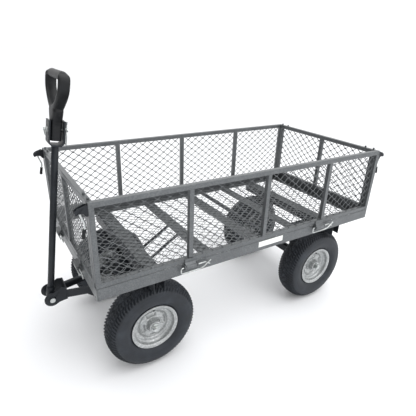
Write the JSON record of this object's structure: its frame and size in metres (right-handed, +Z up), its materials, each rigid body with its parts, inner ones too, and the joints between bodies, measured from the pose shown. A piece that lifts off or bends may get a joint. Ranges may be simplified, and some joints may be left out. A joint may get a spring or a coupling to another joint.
{
  "type": "garden cart",
  "caption": "Four-wheeled garden cart with a mesh deck, fold-down mesh sides and gates, a steered front axle and a tilting tow handle with a D-grip.",
  "frame": {"origin": "on the ground, under the middle of the whole cart's length and width", "axes": "+X forwards to the drawbar and handle, +Y to the cart's left, +Z up"},
  "size_m": [1.366, 0.646, 0.9925],
  "materials": {
    "hammered_grey": "hammered grey powder coat",
    "black_steel": "satin black powder coat",
    "zinc_steel": "bright zinc plating",
    "silver_rim": "silver lacquer",
    "tyre_rubber": "matt tread rubber",
    "black_plastic": "moulded, fine grain",
    "nylon": "natural nylon",
    "label": "blank pale film"
  },
  "bodies": {
    "chassis": {"deck_side_rails": "hammered_grey", "deck_end_rails": "hammered_grey", "deck_straps": "hammered_grey", "deck_floor_mesh": "hammered_grey", "label_plate": "label", "deck_bolsters": "black_steel", "front_pedestal": "black_steel", "king_bolt": "zinc_steel", "underframe_stays": "black_steel", "rear_hangers": "hammered_grey", "rear_brace_bar": "black_steel", "rear_axle_beam": "black_steel", "rear_spindles": "zinc_steel", "rear_axle_hardware": "zinc_steel", "front_gate_frame": "hammered_grey", "front_gate_mesh": "hammered_grey", "hinge_lugs": "hammered_grey", "hinge_pins": "zinc_steel"},
    "steering": {"axle_risers": "black_steel", "turntable_plate": "black_steel", "turntable_washer": "nylon", "front_axle_beam": "black_steel", "front_spindles": "zinc_steel", "front_axle_hardware": "zinc_steel", "drawbar_arms": "black_steel", "drawbar_knuckle": "black_steel", "pivot_bolt": "zinc_steel"},
    "handle": {"handle_foot": "black_steel", "handle_tube": "black_steel", "hitch_clevis": "black_steel", "d_grip": "black_plastic", "hitch_pin": "zinc_steel"},
    "pull_ring": {"pin_ring": "zinc_steel"},
    "spring_clip": {"r_clip": "zinc_steel"},
    "left_side": {"left_side_frame": "hammered_grey", "left_side_mesh": "hammered_grey", "left_latch_brackets": "black_steel"},
    "right_side": {"right_side_frame": "hammered_grey", "right_side_mesh": "hammered_grey", "right_latch_brackets": "black_steel"},
    "rear_gate": {"rear_gate_frame": "hammered_grey", "rear_gate_mesh": "hammered_grey"},
    "front_left_wheel": {"front_left_tyre": "tyre_rubber", "front_left_rim": "silver_rim", "front_left_hub": "zinc_steel"},
    "front_right_wheel": {"front_right_tyre": "tyre_rubber", "front_right_rim": "silver_rim", "front_right_hub": "zinc_steel"},
    "rear_left_wheel": {"rear_left_tyre": "tyre_rubber", "rear_left_rim": "silver_rim", "rear_left_hub": "zinc_steel"},
    "rear_right_wheel": {"rear_right_tyre": "tyre_rubber", "rear_right_rim": "silver_rim", "rear_right_hub": "zinc_steel"},
    "front_left_lever": {"front_left_latch_lever": "black_steel"},
    "front_right_lever": {"front_right_latch_lever": "black_steel"},
    "rear_left_lever": {"rear_left_latch_lever": "black_steel"},
    "rear_right_lever": {"rear_right_latch_lever": "black_steel"}
  },
  "joints": [
    {"name": "steer", "type": "hinge", "parent": "chassis", "child": "steering", "pos_m": [0.373, 0, 0.261], "axis": [0, 0, 1], "range_deg": [-12, 12]},
    {"name": "handle_tilt", "type": "hinge", "parent": "steering", "child": "handle", "pos_m": [0.657, 0, 0.238], "axis": [0, 1, 0], "range_deg": [0, 110]},
    {"name": "ring_swing", "type": "hinge", "parent": "handle", "child": "pull_ring", "pos_m": [0.60026, 0, 0.82212], "axis": [0, -1, 0], "range_deg": [0, 100]},
    {"name": "clip_pull", "type": "slide", "parent": "handle", "child": "spring_clip", "axis": [0.1508, 0, -0.9886], "range_m": [0, 0.06]},
    {"name": "left_side_fold", "type": "hinge", "parent": "chassis", "child": "left_side", "pos_m": [-0.039, 0.315, 0.412], "axis": [-1, 0, 0], "range_deg": [0, 180]},
    {"name": "right_side_fold", "type": "hinge", "parent": "chassis", "child": "right_side", "pos_m": [-0.039, -0.315, 0.412], "axis": [1, 0, 0], "range_deg": [0, 180]},
    {"name": "rear_gate_fold", "type": "hinge", "parent": "chassis", "child": "rear_gate", "pos_m": [-0.659, 0, 0.412], "axis": [0, -1, 0], "range_deg": [0, 180]},
    {"name": "front_left_wheel_roll", "type": "hinge", "parent": "steering", "child": "front_left_wheel", "pos_m": [0.373, 0.22, 0.165], "axis": [0, 1, 0], "continuous": true},
    {"name": "front_right_wheel_roll", "type": "hinge", "parent": "steering", "child": "front_right_wheel", "pos_m": [0.373, -0.22, 0.165], "axis": [0, 1, 0], "continuous": true},
    {"name": "rear_left_wheel_roll", "type": "hinge", "parent": "chassis", "child": "rear_left_wheel", "pos_m": [-0.424, 0.22, 0.165], "axis": [0, 1, 0], "continuous": true},
    {"name": "rear_right_wheel_roll", "type": "hinge", "parent": "chassis", "child": "rear_right_wheel", "pos_m": [-0.424, -0.22, 0.165], "axis": [0, 1, 0], "continuous": true},
    {"name": "front_left_latch", "type": "hinge", "parent": "left_side", "child": "front_left_lever", "pos_m": [0.593, 0.297, 0.668], "axis": [0, -1, 0], "range_deg": [0, 100]},
    {"name": "front_right_latch", "type": "hinge", "parent": "right_side", "child": "front_right_lever", "pos_m": [0.593, -0.297, 0.668], "axis": [0, -1, 0], "range_deg": [0, 100]},
    {"name": "rear_left_latch", "type": "hinge", "parent": "left_side", "child": "rear_left_lever", "pos_m": [-0.671, 0.297, 0.668], "axis": [0, 1, 0], "range_deg": [0, 100]},
    {"name": "rear_right_latch", "type": "hinge", "parent": "right_side", "child": "rear_right_lever", "pos_m": [-0.671, -0.297, 0.668], "axis": [0, 1, 0], "range_deg": [0, 100]}
  ]
}
